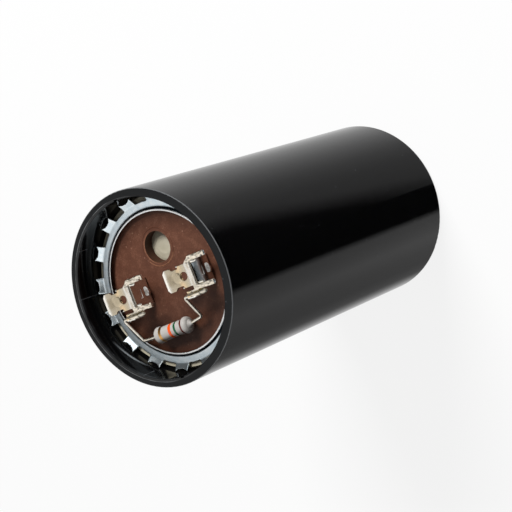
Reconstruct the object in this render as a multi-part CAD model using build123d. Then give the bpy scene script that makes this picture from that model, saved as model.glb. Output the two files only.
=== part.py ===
from build123d import *
from math import atan2, cos, hypot, radians, sin, sqrt, tan
import os

# Motor start capacitor in a round moulded case, standing on its closed base.
# +Z runs up the case axis to the terminals, X runs through both terminals,
# and the origin is the centre of the base. Lengths in millimetres, angles in degrees.

# Case
case_length = 108.5
case_diameter = 52.4
rim_wall = 2.34
body_wall = 3.2
base_thickness = 3.2
base_edge_radius = 1.0
base_inner_radius = 1.6
rim_edge_radius = 0.3
rim_notch_width = 1.2
rim_notch_reach = 0.45
rim_notch_depth = 1.0

# Stack of board, sealing cover and retaining ring
board_below_rim = 9.0
board_thickness = 3.0
board_edge_chamfer = 0.2
cover_lip_above_board = 0.3
cover_floor = 2.5
cover_wall = 3.4
cover_edge_drop = 1.2
cover_edge_set_in = 0.7
cover_clearance = 0.06
board_clearance = 0.1

# Retaining ring
ring_sheet = 0.6
tooth_length = 1.96
ring_flat_width = 1.65
ring_dish = 10.0
ring_lip_radius = 1.05
tooth_count = 16
tooth_slope = 33.0
tooth_base_width = 4.45
tooth_tip_width = 4.05
tooth_scallop = 0.6
tooth_turn = 8.8
tooth_clearance = 0.05
tooth_root_overlap = 0.3

# Pressure vent
vent_from_board_edge = 10.8
vent_hole_diameter = 8.44
vent_ridge_radius = 5.1
vent_ridge_height = 0.12
vent_ridge_half_width = 0.18
diaphragm_diameter = 6.0
diaphragm_thickness = 1.0
diaphragm_groove_width = 0.5
diaphragm_groove_depth = 0.25
diaphragm_clearance = 0.05
gas_hole_diameter = 3.0

# Terminals, two stampings of one form
terminal_spacing = 22.1
terminal_row_y = -0.2
sheet = 0.8
bend_outer_radius = 0.9
plate_back = 3.6
plate_corner = 1.2
web_front = 4.15
web_height = 6.8
web_lean = 12.0
web_foot_width = 7.4
web_top_width = 6.0
blade_rise = 4.0
blade_length = 9.5
blade_width = 6.0
blade_neck_width = 4.6
shoulder_at = 4.2
neck_end_at = 6.2
head_corner = 0.8
tip_bevel_length = 0.9
tip_bevel_depth = 0.25
blade_hole_at = 3.1
blade_hole_diameter = 2.2
dimple_at = 5.6
dimple_diameter = 3.0
dimple_depth = 0.12
arm_length = 5.0
arm_outer = 4.45
arm_gap = 0.15
flare_start = 1.9
flare_end = 0.25
arm_notch_at = 0.9
arm_notch_width = 0.7
arm_notch_depth = 0.5
window_end_at = 1.35
blade_root_overlap = 0.2
window_outer = 4.03
barrel_centre = 5.2
barrel_start = 0.3
barrel_end = 4.05
barrel_radius = 0.8
barrel_seam_width = 0.24
barrel_seam_lean = 20.0
boss_height = 1.15
boss_off_centre = -0.4
boss_half_width = 1.2
boss_half_height = 0.9
boss_depth = 0.45

# Rivets and what they clamp under the cover
rivet_shank_diameter = 3.2
rivet_head_diameter = 4.6
rivet_head_height = 0.9
rivet_tail_diameter = 4.8
rivet_tail_height = 1.0
rivet_clearance = 0.05
washer_diameter = 7.4
washer_thickness = 0.8
tab_width = 6.0
tab_thickness = 0.3
tab_reach = 6.2
tab_back = 3.4
tab_bend_radius = 1.0

# Wound element
element_clearance = 0.6
element_headroom = 10.0
element_core_diameter = 4.0
pad_thickness = 1.2
pad_clearance = 0.4

# Bleed resistor
resistor_length = 11.8
resistor_end_radius = 2.25
resistor_mid_radius = 1.94
resistor_end_length = 2.4
resistor_end_round = 1.1
resistor_end_slope_length = 0.6
resistor_centre_x = -2.25
resistor_from_board_edge = 8.1
resistor_above_board = 3.0
resistor_turn = 1.0
wire_diameter = 0.8
wire_clearance = 0.02
wire_bend_radius = 0.75
right_elbow_run = 4.7
left_elbow_run = 5.1
right_elbow_turn = 8.5
left_elbow_turn = 1.0
wire_past_barrel = 1.5
wire_past_arm_root = 1.4
solder_length = 2.8
solder_radius = 0.74
solder_at = -0.6
solder_seam_turn = 35.0
seam_fill_proud = 0.06

# Places worked out from the sizes above
case_radius = case_diameter / 2
bore_radius = case_radius - rim_wall
body_bore_radius = case_radius - body_wall
board_radius = bore_radius - cover_clearance - cover_wall - board_clearance
vent_offset = board_radius - vent_from_board_edge
resistor_centre_y = resistor_from_board_edge - board_radius
board_top = case_length - board_below_rim
board_bottom = board_top - board_thickness
cover_bottom = board_bottom - cover_floor
ring_bottom = board_top + cover_lip_above_board
ring_top = ring_bottom + ring_sheet
tooth_tip_radius = bore_radius - tooth_clearance
ring_flat_outer_radius = tooth_tip_radius - tooth_length
ring_flat_inner_radius = ring_flat_outer_radius - ring_flat_width
ring_dish_rise = ring_flat_width * tan(radians(ring_dish))
element_top = cover_bottom - element_headroom
pad_top = base_thickness + pad_thickness
terminal_places = {"left": -terminal_spacing / 2, "right": terminal_spacing / 2}
wire_radius = wire_diameter / 2
barrel_bore_radius = wire_radius + wire_clearance
rise = radians(blade_rise)
lean = radians(web_lean)
web_top_x = web_front - web_height * tan(lean)


def disc(radius, bottom, top):
    """Plain cylinder on the case axis between two heights."""
    return Pos(0, 0, bottom) * extrude(Circle(radius), top - bottom)


def turned(points):
    """Solid turned about the case axis from a closed outline of radius and height."""
    outline = make_face(Plane.XZ * Polyline(*points, close=True))
    return revolve(outline, Axis.Z)


def edges_at(solid, radius, height):
    """Circular edges of a turned solid at one radius and height."""
    found = []
    for edge in solid.edges().filter_by(GeomType.CIRCLE):
        centre = edge.arc_center
        on_axis = hypot(centre.X, centre.Y) < 0.001
        if on_axis and abs(edge.radius - radius) < 0.001 and abs(centre.Z - height) < 0.001:
            found.append(edge)
    return found


def make_case():
    """Moulded cup with a ledge that carries the sealing cover."""
    cup = turned([
        (0, 0), (case_radius, 0), (case_radius, case_length), (bore_radius, case_length),
        (bore_radius, cover_bottom), (body_bore_radius, cover_bottom),
        (body_bore_radius, base_thickness), (0, base_thickness),
    ])
    cup = fillet(edges_at(cup, case_radius, 0), base_edge_radius)
    cup = fillet(edges_at(cup, case_radius, case_length), rim_edge_radius)
    cup = fillet(edges_at(cup, body_bore_radius, base_thickness), base_inner_radius)
    notch_length = 2 * (bore_radius + rim_notch_reach)
    notch = Box(rim_notch_width, notch_length, rim_notch_depth, align=(Align.CENTER, Align.CENTER, Align.MAX))
    return cup - Pos(0, 0, case_length) * notch


def ring_blank():
    """Dished annulus with its inner edge curled up into a lip."""
    middle = ring_bottom + ring_sheet / 2
    lip_centre = (ring_flat_inner_radius, middle + ring_lip_radius)
    outer_arc = ring_lip_radius + ring_sheet / 2
    inner_arc = ring_lip_radius - ring_sheet / 2
    dish_bottom = (ring_flat_outer_radius, ring_bottom + ring_dish_rise)
    dish_top = (ring_flat_outer_radius, ring_top + ring_dish_rise)
    with BuildSketch(Plane.XZ) as section:
        with BuildLine():
            Line(dish_bottom, (ring_flat_inner_radius, ring_bottom))
            CenterArc(lip_centre, outer_arc, 180, 90)
            Line((lip_centre[0] - outer_arc, lip_centre[1]), (lip_centre[0] - inner_arc, lip_centre[1]))
            CenterArc(lip_centre, inner_arc, 180, 90)
            Line((ring_flat_inner_radius, ring_top), dish_top)
            Line(dish_top, dish_bottom)
        make_face()
    return revolve(section.sketch, Axis.Z)


def tooth_gap():
    """Plan outline of the open stretch between two neighbouring teeth."""
    pitch = radians(360 / tooth_count)
    points = []
    for radius, width in ((ring_flat_outer_radius, tooth_base_width), (tooth_tip_radius + 1, tooth_tip_width)):
        side_angle = pitch / 2 - atan2(width / 2, radius)
        points.append((radius * cos(side_angle), radius * sin(side_angle)))
    (x0, y0), (x1, y1) = points
    return make_face(Polyline((x0, -y0), (x1, -y1), (x1, y1), (x0, y0), close=True))


def make_retaining_ring():
    """Push-in ring whose sprung teeth bite into the bore of the case."""
    root_drop = tooth_root_overlap * tan(radians(ring_dish))
    bend = ring_dish_rise
    climb = bend + tooth_length * tan(radians(tooth_slope))
    root = ring_flat_outer_radius - tooth_root_overlap
    teeth = turned([
        (root, ring_bottom + bend - root_drop), (ring_flat_outer_radius, ring_bottom + bend),
        (tooth_tip_radius, ring_bottom + climb), (tooth_tip_radius, ring_top + climb),
        (ring_flat_outer_radius, ring_top + bend), (root, ring_top + bend - root_drop),
    ])
    cut_height = climb + 3 * ring_sheet
    corner_x = sqrt(tooth_tip_radius**2 - (tooth_tip_width / 2) ** 2)
    scallop_radius = ((tooth_tip_width / 2) ** 2 + tooth_scallop**2) / (2 * tooth_scallop)
    scallop = Pos(corner_x - tooth_scallop + scallop_radius, 0) * Circle(scallop_radius)
    gap = tooth_gap()
    pitch = 360 / tooth_count
    cutters = []
    for index in range(tooth_count):
        angle = tooth_turn + index * pitch
        for shape, turn in ((scallop, angle), (gap, angle + pitch / 2)):
            cutters.append(Pos(0, 0, ring_bottom - ring_sheet) * Rot(0, 0, turn) * extrude(shape, cut_height))
    return ring_blank() + (teeth - cutters)


def rivet_holes(bottom, top, diameter):
    """Two cylinders at the rivet places, used as cutters."""
    tool = Pos(0, 0, bottom) * extrude(Circle(diameter / 2), top - bottom)
    return [Pos(x, terminal_row_y, 0) * tool for x in terminal_places.values()]


def make_sealing_cover():
    """Moulded tray that holds the board, closes the case and carries the vent seat."""
    outer = bore_radius - cover_clearance
    recess = board_radius + board_clearance
    tray = turned([
        (0, cover_bottom), (outer, cover_bottom), (outer, ring_bottom - cover_edge_drop),
        (outer - cover_edge_set_in, ring_bottom), (recess, ring_bottom), (recess, board_bottom),
        (0, board_bottom),
    ])
    seat_bottom = board_bottom - diaphragm_thickness
    seat = disc(diaphragm_diameter / 2, seat_bottom, board_bottom)
    gas_hole = disc(gas_hole_diameter / 2, cover_bottom, board_bottom)
    vent = Pos(0, vent_offset, 0) * (seat + gas_hole)
    return tray - vent - rivet_holes(cover_bottom, board_bottom, rivet_shank_diameter + 2 * rivet_clearance)


def make_vent_diaphragm():
    """Thin disc that lifts or bursts when gas builds up in the case."""
    radius = diaphragm_diameter / 2 - diaphragm_clearance
    bottom = board_bottom - diaphragm_thickness
    plug = disc(radius, bottom, board_bottom)
    groove_outer = radius - diaphragm_groove_width
    ring = Circle(groove_outer) - Circle(groove_outer - diaphragm_groove_width)
    groove = Pos(0, 0, board_bottom - diaphragm_groove_depth) * extrude(ring, diaphragm_groove_depth)
    return Pos(0, vent_offset, 0) * (plug - groove)


def make_terminal_board():
    """Laminate disc with the vent hole, its pressed ridge and two rivet holes."""
    board = disc(board_radius, board_bottom, board_top)
    board = chamfer(edges_at(board, board_radius, board_top), board_edge_chamfer)
    ridge = turned([
        (vent_ridge_radius - vent_ridge_half_width, board_top),
        (vent_ridge_radius + vent_ridge_half_width, board_top),
        (vent_ridge_radius, board_top + vent_ridge_height),
    ])
    board = board + Pos(0, vent_offset, 0) * ridge
    hole = Pos(0, vent_offset, 0) * disc(vent_hole_diameter / 2, board_bottom, board_top + vent_ridge_height)
    return board - hole - rivet_holes(board_bottom, board_top, rivet_shank_diameter + 2 * rivet_clearance)


def blade_plane():
    """Plane of the blade's top face: x along the blade, y across it towards -Y."""
    along = (-cos(rise), 0, sin(rise))
    upward = (sin(rise), 0, cos(rise))
    return Plane(origin=(web_top_x, 0, web_height), x_dir=along, z_dir=upward)


def blade_point(along, across, below=0.0):
    """Point of the terminal's own frame given by its place on the blade."""
    x = web_top_x - along * cos(rise) - below * sin(rise)
    return (x, across, web_height + along * sin(rise) - below * cos(rise))


def blade_outline(window_start):
    """Corner points of the flat blank: blade with its notches, side arms and barrel strip."""
    half = blade_width / 2
    neck = blade_neck_width / 2
    inner = web_top_width / 2 + arm_gap
    strip_outer = barrel_centre - (barrel_bore_radius + barrel_radius) / 2
    head_start = neck_end_at + (half - neck)
    edge = [(shoulder_at, half), (shoulder_at, neck), (neck_end_at, neck), (head_start, half)]
    tip = [(blade_length - head_corner, half), (blade_length, half - head_corner)]
    notch_tip = (arm_notch_at - arm_length, inner + arm_notch_depth)
    notch_sides = [(notch_tip[0] + arm_notch_width / 2, inner), (notch_tip[0] - arm_notch_width / 2, inner)]
    upper_arm = [
        (window_start, inner), notch_sides[0], notch_tip, notch_sides[1],
        (-arm_length, inner), (-arm_length, arm_outer), (flare_end, arm_outer), (flare_start, half),
    ]
    lower_arm = [
        (window_end_at, -half), (window_end_at, -window_outer), (barrel_end, -window_outer),
        (barrel_end, -strip_outer), (barrel_start, -strip_outer), (barrel_start, -arm_outer),
        (-arm_length, -arm_outer), (-arm_length, -inner),
        (notch_sides[1][0], -inner), (notch_tip[0], -notch_tip[1]), (notch_sides[0][0], -inner),
        (window_start, -inner),
    ]
    other_side = [(along, -across) for along, across in reversed(edge + tip)]
    return upper_arm + edge + tip + other_side + lower_arm


def wire_barrel():
    """Barrel rolled round the wire at the blade's edge, open along one seam."""
    length = barrel_end - barrel_start
    wall = barrel_radius - barrel_bore_radius
    roll = Rot(0, 90, 0) * extrude(Circle(barrel_radius) - Circle(barrel_bore_radius), length)
    slot = Pos(length / 2, 0, barrel_bore_radius + wall / 2) * Box(length, barrel_seam_width, 2 * wall)
    return Pos(barrel_start, barrel_centre, -sheet / 2) * (roll - Rot(barrel_seam_lean, 0, 0) * slot)


def blade_plate(window_start):
    """Blade, side arms and wire barrel in the blade's plane, with bevelled tip, dimple and hole."""
    outline = Polyline(*[(along, -across) for along, across in blade_outline(window_start)], close=True)
    plate = extrude(make_face(outline), -sheet)
    bevel_start = blade_length - tip_bevel_length
    bevel_corners = [(blade_length, 0), (bevel_start, 0), (blade_length, -tip_bevel_depth)]
    bevel = make_face(Polyline(*bevel_corners, close=True))
    top_bevel = extrude(Plane.XZ * bevel, blade_width, both=True)
    bottom_bevel = Pos(0, 0, -sheet) * mirror(top_bevel, about=Plane.XY)
    dimple_ball = ((dimple_diameter / 2) ** 2 + dimple_depth**2) / (2 * dimple_depth)
    dimple = Pos(dimple_at, 0, dimple_ball - dimple_depth) * Sphere(dimple_ball)
    hole = Pos(blade_hole_at, 0, -sheet) * extrude(Circle(blade_hole_diameter / 2), sheet)
    return blade_plane() * (plate - top_bevel - bottom_bevel - dimple - hole + wire_barrel())


def terminal_strip():
    """Folded strip: base plate on the board, leaning web and the bend into the blade."""
    turn = radians(90 - web_lean - blade_rise)
    bend_run = bend_outer_radius * tan(turn / 2)
    corner = blade_point(bend_run + blade_root_overlap, 0)
    with BuildSketch(Plane.XZ) as section:
        with BuildLine():
            FilletPolyline(
                (-plate_back, 0), (web_front, 0), (web_top_x, web_height), (corner[0], corner[2]),
                radius=bend_outer_radius)
            offset(amount=sheet, side=Side.LEFT)
        make_face()
    strip = extrude(section.sketch, web_foot_width / 2, both=True)
    foot = web_foot_width / 2
    top = web_top_width / 2
    front = make_face(Plane.YZ * Polyline(
        (-foot, 0), (foot, 0), (top, web_height), (top, 2 * web_height),
        (-top, 2 * web_height), (-top, web_height), close=True))
    silhouette = extrude(front, 2 * plate_back + web_front, both=True)
    plan_length = plate_back + web_front + sheet
    plan = Pos(web_front + sheet - plan_length / 2, 0) * Rectangle(plan_length, web_foot_width)
    plan = fillet(plan.vertices().group_by(Axis.X)[0], plate_corner)
    keep = extrude(plan, 2 * web_height)
    return strip & silhouette & keep, bend_run


def web_boss():
    """Oval bump pressed out of the web near its foot."""
    bump = scale(Sphere(1), by=(boss_depth + sheet / 2, boss_half_width, boss_half_height))
    centre = (web_front - boss_height * tan(lean) - sheet / 2, boss_off_centre, boss_height)
    return Pos(*centre) * Rot(0, -web_lean, 0) * bump


def make_terminal(place_x):
    """One stamping: rivet plate, web, tab blade with its notches, side arms and wire barrel."""
    strip, window_start = terminal_strip()
    body = strip + blade_plate(window_start) + web_boss()
    body = body - extrude(Circle(rivet_shank_diameter / 2 + rivet_clearance), sheet)
    return Pos(place_x, terminal_row_y, board_top) * body


def make_rivet(place_x):
    """Rivet from the terminal's plate down through board, cover, washer and lead tab."""
    tab_bottom = cover_bottom - washer_thickness - tab_thickness
    head_bottom = board_top + sheet
    shank = disc(rivet_shank_diameter / 2, tab_bottom, head_bottom)
    ball = ((rivet_head_diameter / 2) ** 2 + rivet_head_height**2) / (2 * rivet_head_height)
    dome = Pos(0, 0, head_bottom + rivet_head_height - ball) * Sphere(ball)
    head = dome & disc(rivet_head_diameter / 2, head_bottom, head_bottom + 2 * rivet_head_height)
    tail_radius = rivet_tail_diameter / 2
    tail_bottom = tab_bottom - rivet_tail_height
    tail = disc(tail_radius, tail_bottom, tab_bottom)
    tail = chamfer(edges_at(tail, tail_radius, tail_bottom), rivet_tail_height / 2)
    return Pos(place_x, terminal_row_y, 0) * (shank + head + tail)


def make_rivet_washer(place_x):
    """Flat washer that spreads the rivet's load on the soft cover."""
    ring = Circle(washer_diameter / 2) - Circle(rivet_shank_diameter / 2 + rivet_clearance)
    return Pos(place_x, terminal_row_y, cover_bottom - washer_thickness) * extrude(ring, washer_thickness)


def make_lead_tab(place_x):
    """Foil strip from the rivet to the top of the wound element."""
    top = cover_bottom - washer_thickness
    inward = -1 if place_x > 0 else 1
    with BuildSketch(Plane.XZ) as section:
        with BuildLine():
            FilletPolyline(
                (-inward * tab_back, top), (inward * tab_reach, top), (inward * tab_reach, element_top),
                radius=tab_bend_radius)
            offset(amount=tab_thickness, side=Side.RIGHT if inward > 0 else Side.LEFT)
        make_face()
    strip = extrude(section.sketch, tab_width / 2, both=True)
    hole_radius = rivet_shank_diameter / 2 + rivet_clearance
    hole = Pos(0, 0, top - tab_thickness) * extrude(Circle(hole_radius), tab_thickness)
    return Pos(place_x, terminal_row_y, 0) * (strip - hole)


def make_wound_element():
    """Roll of foil and paper with its open mandrel hole, as one solid."""
    radius = body_bore_radius - element_clearance
    return disc(radius, pad_top, element_top) - disc(element_core_diameter / 2, pad_top, element_top)


def make_bottom_pad():
    """Paper disc between the roll and the floor of the case."""
    radius = body_bore_radius - base_inner_radius - pad_clearance
    return disc(radius, base_thickness, pad_top)


def resistor_place():
    """Placement of the resistor with its own axis along X."""
    height = board_top + resistor_above_board
    return Pos(resistor_centre_x, resistor_centre_y, height) * Rot(0, 0, resistor_turn)


def make_resistor_body():
    """Coated body with fuller ends over the hidden end caps."""
    end = resistor_length / 2
    neck = end - resistor_end_length - resistor_end_slope_length
    round_start = resistor_end_radius - resistor_end_round
    round_end = end - resistor_end_round
    with BuildSketch(Plane.XY) as section:
        with BuildLine():
            Line((-end, 0), (-end, round_start))
            RadiusArc((-end, round_start), (-round_end, resistor_end_radius), resistor_end_round)
            Spline((-round_end, resistor_end_radius), (-neck, resistor_mid_radius), tangents=((1, 0), (1, 0)))
            Line((-neck, resistor_mid_radius), (neck, resistor_mid_radius))
            Spline((neck, resistor_mid_radius), (round_end, resistor_end_radius), tangents=((1, 0), (1, 0)))
            RadiusArc((round_end, resistor_end_radius), (end, round_start), resistor_end_round)
            Line((end, round_start), (end, 0))
            Line((end, 0), (-end, 0))
        make_face()
    return resistor_place() * revolve(section.sketch, Axis.X)


def on_barrel(place_x, along):
    """Point on the axis of a terminal's wire barrel, at a distance along the blade."""
    x, y, z = blade_point(along, -barrel_centre, sheet / 2)
    return Vector(place_x + x, terminal_row_y + y, board_top + z)


def wire_route(side):
    """Corner points of one lead, from the resistor's end to its end past the barrel."""
    sign = 1 if side == "right" else -1
    run = right_elbow_run if side == "right" else left_elbow_run
    turn = radians(right_elbow_turn if side == "right" else left_elbow_turn)
    end = Vector(*(resistor_place() * Pos(sign * resistor_length / 2, 0, 0)).position)
    along = radians(resistor_turn) + turn * sign
    elbow = end + Vector(sign * run * cos(along), sign * run * sin(along), 0)
    place_x = terminal_places[side]
    hook = on_barrel(place_x, barrel_end + wire_past_barrel)
    wire_end = on_barrel(place_x, -wire_past_arm_root)
    return [end, elbow, hook, wire_end]


def make_resistor_lead(side, body):
    """Round tinned wire bent up from the resistor and laid through the barrel."""
    route = FilletPolyline(*wire_route(side), radius=wire_bend_radius)
    start = route.position_at(0)
    section = Plane(origin=start, z_dir=route.tangent_at(0)) * Circle(wire_radius)
    return sweep(section, path=route) - body


def make_solder(side, lead, terminal):
    """Bead that joins the wire's end to the arm, with its run along the barrel's seam."""
    with BuildSketch() as half_bead:
        with BuildLine():
            EllipticalCenterArc((0, 0), solder_length / 2, solder_radius, start_angle=0, arc_size=180)
            Line((-solder_length / 2, 0), (solder_length / 2, 0))
        make_face()
    bead = Pos(solder_at, 0, 0) * Rot(solder_seam_turn, 0, 0) * revolve(half_bead.sketch, Axis.X)
    run = barrel_end - barrel_start
    height = barrel_radius + seam_fill_proud - barrel_bore_radius
    fill_middle = (barrel_start + run / 2, 0, barrel_bore_radius + height / 2)
    fill = Pos(*fill_middle) * Box(run, barrel_seam_width, height)
    joint = Pos(0, barrel_centre, -sheet / 2) * (bead + Rot(barrel_seam_lean, 0, 0) * fill)
    joint = Pos(terminal_places[side], terminal_row_y, board_top) * (blade_plane() * joint) - lead - terminal
    return max(joint.solids(), key=lambda solid: solid.volume)


def make_all():
    """Every piece by the name of its node."""
    resistor_body = make_resistor_body()
    pieces = {
        "case": make_case(),
        "retaining_ring": make_retaining_ring(),
        "sealing_cover": make_sealing_cover(),
        "vent_diaphragm": make_vent_diaphragm(),
        "terminal_board": make_terminal_board(),
        "wound_element": make_wound_element(),
        "bottom_pad": make_bottom_pad(),
        "resistor_body": resistor_body,
    }
    for side, place_x in terminal_places.items():
        terminal = make_terminal(place_x)
        lead = make_resistor_lead(side, resistor_body)
        pieces[f"terminal_{side}"] = terminal
        pieces[f"resistor_lead_{side}"] = lead
        pieces[f"solder_{side}"] = make_solder(side, lead, terminal)
        pieces[f"rivet_{side}"] = make_rivet(place_x)
        pieces[f"rivet_washer_{side}"] = make_rivet_washer(place_x)
        pieces[f"lead_tab_{side}"] = make_lead_tab(place_x)
    return pieces


os.makedirs("parts", exist_ok=True)
for node, piece in make_all().items():
    export_step(piece, f"parts/{node}.step")
    print(node, round(piece.volume, 1))
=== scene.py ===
# %% [markdown]
# # A motor start capacitor
# The real part is a black moulded cup closed by a cream tray and a brown board. A toothed spring
# ring holds the board in, and two folded tabs carry a bleed resistor. The shapes come in as exact
# solids from CAD, so Blender's work is the finish of each one and the small details.

# %% Load the measured solids
import math

import bmesh
import bpy
from mathutils import Matrix, Vector, noise


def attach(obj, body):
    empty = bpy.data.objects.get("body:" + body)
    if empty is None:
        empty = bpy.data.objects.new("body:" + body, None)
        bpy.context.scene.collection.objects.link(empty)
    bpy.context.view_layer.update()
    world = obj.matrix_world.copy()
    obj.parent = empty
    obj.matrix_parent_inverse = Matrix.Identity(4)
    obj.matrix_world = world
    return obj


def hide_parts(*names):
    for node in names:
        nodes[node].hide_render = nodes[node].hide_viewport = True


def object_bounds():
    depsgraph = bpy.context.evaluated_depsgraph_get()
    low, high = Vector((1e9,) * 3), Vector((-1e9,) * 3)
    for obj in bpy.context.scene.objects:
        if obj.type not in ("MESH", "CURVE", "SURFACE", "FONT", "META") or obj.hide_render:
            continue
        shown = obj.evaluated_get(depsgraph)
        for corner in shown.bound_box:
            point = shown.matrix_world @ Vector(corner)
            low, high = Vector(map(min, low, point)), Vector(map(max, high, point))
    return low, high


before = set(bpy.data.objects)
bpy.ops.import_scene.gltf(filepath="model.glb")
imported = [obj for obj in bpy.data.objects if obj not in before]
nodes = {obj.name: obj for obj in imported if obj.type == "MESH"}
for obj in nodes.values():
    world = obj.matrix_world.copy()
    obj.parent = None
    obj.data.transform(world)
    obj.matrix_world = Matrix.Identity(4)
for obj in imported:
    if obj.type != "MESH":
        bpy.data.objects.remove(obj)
cad_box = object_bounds()
print("nodes loaded:", len(nodes))

# %% [markdown]
# Everything below is worked out in millimetres, because that is how the real part is measured.
# Blender's own unit is the metre, so one factor turns the one into the other.

# %% Sizes in millimetres that the finishes refer to
MM = 0.001
rim_height = 108.5
board_height = 99.5
bore_radius = 23.86
tab_reach = 11.05
blade_root = (2.705, 6.8)
blade_rise = math.radians(4)
web_foot = 4.15
web_lean = math.radians(12)
tab_row_y = -0.2
vent_offset = 9.5
resistor_middle = (-2.25, -12.2, 102.5)
resistor_turn_degrees = 1.0
coat_length = 11.8
case_height = (cad_box[1].z - cad_box[0].z) / MM
print("case height in mm:", round(case_height, 2))

# %% [markdown]
# The camera was matched to the photo by its outline, so it is placed by numbers and not by eye.
# It looks down into the open end from the side of the tabs' folded webs. A camera's own axes are
# right, up and backwards, and those three directions are the columns of its matrix.

# %% Place the camera
eye = Vector((260.891, -4.379, 404.063)) * MM
right = Vector((0.742295, -0.355544, -0.567968)).normalized()
up = Vector((0.286461, 0.934638, -0.210692))
up = (up - right * up.dot(right)).normalized()
backwards = right.cross(up)
camera = bpy.data.objects.new("camera", bpy.data.cameras.new("camera"))
bpy.context.scene.collection.objects.link(camera)
camera.matrix_world = Matrix((
    (right.x, up.x, backwards.x, eye.x),
    (right.y, up.y, backwards.y, eye.y),
    (right.z, up.z, backwards.z, eye.z),
    (0, 0, 0, 1)))
camera.data.sensor_width = 36
camera.data.lens = 108.39
bpy.context.scene.camera = camera
bpy.context.scene.view_settings.view_transform = "Standard"
print("camera height in mm:", round(eye.z / MM))

# %% [markdown]
# Colours are written as they look on a screen, as hex numbers. Blender calculates with light
# itself, which is linear, so one function converts each colour.

# %% Turn screen colours to linear light
def linear(hex_colour):
    """Linear red, green, blue and alpha of an sRGB hex colour."""
    parts = [int(hex_colour[i:i + 2], 16) / 255 for i in (1, 3, 5)]
    return [c / 12.92 if c <= 0.04045 else ((c + 0.055) / 1.055) ** 2.4 for c in parts] + [1]


print("mid grey:", [round(c, 3) for c in linear("#808080")])

# %% [markdown]
# Every finish is a small tree of nodes. Adding a node always takes the same three steps: make it,
# set its values, and join its inputs, so one function does that for nodes of every kind. The last
# two steps are a function of their own, because the main shader is filled in only at the end.

# %% Add one node with its settings and links
def set_and_link(tree, node, settings={}, links={}):
    """Settings name a property, a socket or the ramp's stops, with colours as hex or as light.
    Links feed sockets, and a node given as a link stands for its first output."""
    def light(value):
        return linear(value) if isinstance(value, str) else value

    for name, value in settings.items():
        if name == "stops":
            for place, colour in value[2:]:
                node.color_ramp.elements.new(place)
            for stop, (place, colour) in zip(node.color_ramp.elements, value):
                stop.position = place
                stop.color = light(colour)
        elif name == "interpolation":
            node.color_ramp.interpolation = value
        elif isinstance(name, int) or name in node.inputs:
            node.inputs[name].default_value = light(value)
        else:
            setattr(node, name, value)
    for name, source in links.items():
        if isinstance(source, bpy.types.Node):
            source = source.outputs[0]
        tree.links.new(source, node.inputs[name])


def add(tree, kind, settings={}, links={}):
    """New node with its settings and links."""
    node = tree.nodes.new(kind)
    set_and_link(tree, node, settings, links)
    return node


def grey(value):
    """Colour for a ramp's stop that stands for a plain number."""
    return (value, value, value, 1)


# %% [markdown]
# A finish starts as an empty tree with the shader, the output, and the place on the object in
# millimetres. With that, a pattern's scale is simply one over its real size.

# %% Start a finish
def start_finish(name):
    """New material with its tree, its main shader and the place in millimetres."""
    material = bpy.data.materials.new(name)
    material.use_nodes = True
    tree = material.node_tree
    tree.nodes.clear()
    shader = add(tree, "ShaderNodeBsdfPrincipled")
    add(tree, "ShaderNodeOutputMaterial", {}, {"Surface": shader.outputs["BSDF"]})
    place = add(tree, "ShaderNodeTexCoord")
    in_mm = add(tree, "ShaderNodeMapping", {"Scale": (1 / MM, 1 / MM, 1 / MM)}, {
        "Vector": place.outputs["Object"]})
    return material, tree, shader, in_mm.outputs["Vector"]


def dress(node_name, material):
    """Give a CAD node one material in place of its plain one."""
    mesh = nodes[node_name].data
    mesh.materials.clear()
    mesh.materials.append(material)


# %% [markdown]
# **Case: compression-moulded phenolic, black and glossy.** A polished mould gives a mirror gloss
# with a very slight ripple. A mask is a plain number, 1 where a mark is and 0 elsewhere. The first
# few masks say where a point lies on the cup, and every mark below is made from them.

# %% Phenolic moulding: where a point lies
phenolic, tree, shader, place = start_finish("black_phenolic_moulded")
xyz = add(tree, "ShaderNodeSeparateXYZ", {}, {0: place})
facing = add(tree, "ShaderNodeNewGeometry")
turned_up = add(tree, "ShaderNodeSeparateXYZ", {}, {0: facing.outputs["Normal"]})
level = add(tree, "ShaderNodeVectorMath", {"operation": "MULTIPLY", 1: (1, 1, 0)}, {0: place})
radius = add(tree, "ShaderNodeVectorMath", {"operation": "LENGTH"}, {0: level})
angle = add(tree, "ShaderNodeMath", {"operation": "ARCTAN2"}, {0: xyz.outputs["Y"], 1: xyz.outputs["X"]})
near_rim = add(tree, "ShaderNodeMath", {"operation": "GREATER_THAN", 1: rim_height - 1.3}, {
    0: xyz.outputs["Z"]})
in_bore = add(tree, "ShaderNodeMath", {"operation": "LESS_THAN", 1: bore_radius + 0.15}, {
    0: radius.outputs["Value"]})
left_side = add(tree, "ShaderNodeMapRange", {1: 6.0, 2: -8.0}, {0: xyz.outputs["X"]})
print("phenolic nodes so far:", len(tree.nodes))
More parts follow.
